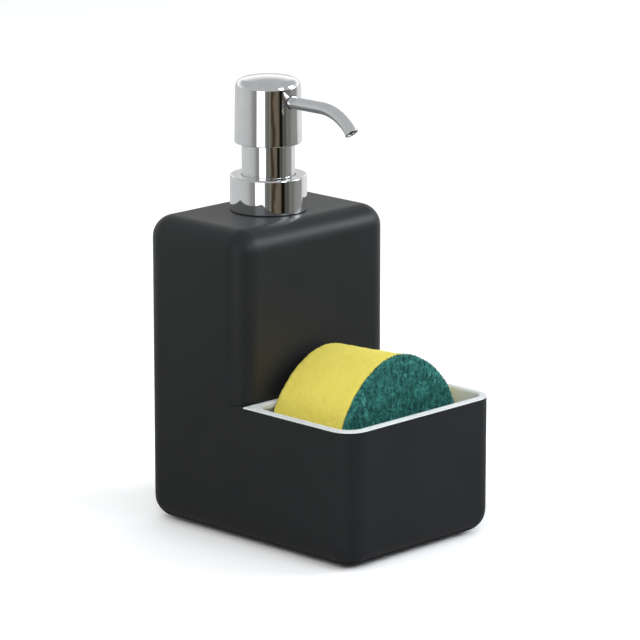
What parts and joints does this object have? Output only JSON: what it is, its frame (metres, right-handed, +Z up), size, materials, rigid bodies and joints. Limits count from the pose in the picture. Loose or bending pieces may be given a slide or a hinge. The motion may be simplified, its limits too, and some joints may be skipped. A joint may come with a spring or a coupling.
{
  "type": "soap pump dispenser",
  "caption": "Free-standing kitchen soap dispenser: matte black housing with inner reservoir, chrome lift pump with bent spout, and a white drop-in sponge tray in front.",
  "frame": {"origin": "middle of the footprint, on the surface that the rubber feet stand on", "axes": "+Z up along the pump, -Y towards the sponge tray and the spout, +X across the housing's width"},
  "size_m": [0.088, 0.12, 0.1885],
  "materials": {
    "soft_touch_black": "soft-touch matte",
    "base_black": "fine texture",
    "foot_rubber": "matte",
    "reservoir_natural": "natural polyethylene",
    "tray_white": "satin white",
    "foam_yellow": "open-cell foam",
    "scourer_green": "non-woven abrasive fibre",
    "chrome": "mirror",
    "pump_white": "moulded polypropylene",
    "seal_grey": "soft polyethylene",
    "valve_steel": "polished",
    "spring_steel": "bright drawn wire",
    "tube_clear": "translucent polyethylene"
  },
  "bodies": {
    "housing": {"outer_casing": "soft_touch_black", "base_plate": "base_black", "foot_pad_1": "foot_rubber", "foot_pad_2": "foot_rubber", "foot_pad_3": "foot_rubber", "foot_pad_4": "foot_rubber", "soap_reservoir": "reservoir_natural"},
    "pump_cartridge": {"pump_cylinder": "pump_white", "cylinder_retainer": "pump_white", "spring_seat": "pump_white", "neck_gasket": "seal_grey", "dip_tube": "tube_clear", "return_spring": "spring_steel"},
    "collar": {"closure_collar": "chrome", "collar_nut": "pump_white", "guide_sleeve": "chrome"},
    "plunger": {"pump_stem": "pump_white", "piston": "seal_grey"},
    "head": {"actuator_core": "pump_white", "actuator_cap": "chrome", "spout_tube": "chrome"},
    "inlet_valve": {"inlet_ball": "valve_steel"},
    "outlet_valve": {"outlet_ball": "valve_steel"},
    "tray": {"sponge_tray": "tray_white"},
    "sponge": {"sponge_foam": "foam_yellow", "scourer_pad": "scourer_green"}
  },
  "joints": [
    {"name": "pump_rise", "type": "slide", "parent": "housing", "child": "pump_cartridge", "axis": [0, 0, 1], "range_m": [0, 0.006]},
    {"name": "collar_unscrew", "type": "hinge", "parent": "pump_cartridge", "child": "collar", "pos_m": [0, 0.0299, 0.1391], "axis": [0, 0, 1], "range_deg": [0, 540]},
    {"name": "pump_stroke", "type": "slide", "parent": "pump_cartridge", "child": "plunger", "axis": [0, 0, -1], "range_m": [0, 0.0125], "stiffness_N_per_m": 400, "springref_m": -0.008, "deforming": ["return_spring"]},
    {"name": "head_swivel", "type": "hinge", "parent": "plunger", "child": "head", "pos_m": [0, 0.0299, 0.1789], "axis": [0, 0, 1], "continuous": true},
    {"name": "inlet_valve_lift", "type": "slide", "parent": "pump_cartridge", "child": "inlet_valve", "axis": [0, 0, 1], "range_m": [0, 0.001]},
    {"name": "outlet_valve_lift", "type": "slide", "parent": "plunger", "child": "outlet_valve", "axis": [0, 0, 1], "range_m": [0, 0.001]},
    {"name": "tray_lift", "type": "slide", "parent": "housing", "child": "tray", "axis": [0, 0, 1], "range_m": [0, 0.034]},
    {"name": "sponge_lift", "type": "slide", "parent": "tray", "child": "sponge", "axis": [0, 0, 1], "range_m": [0, 0.033]}
  ],
  "couplings": [
    {"joint": "pump_rise", "follows": "collar_unscrew", "m_per_rad": 0.00063662}
  ]
}
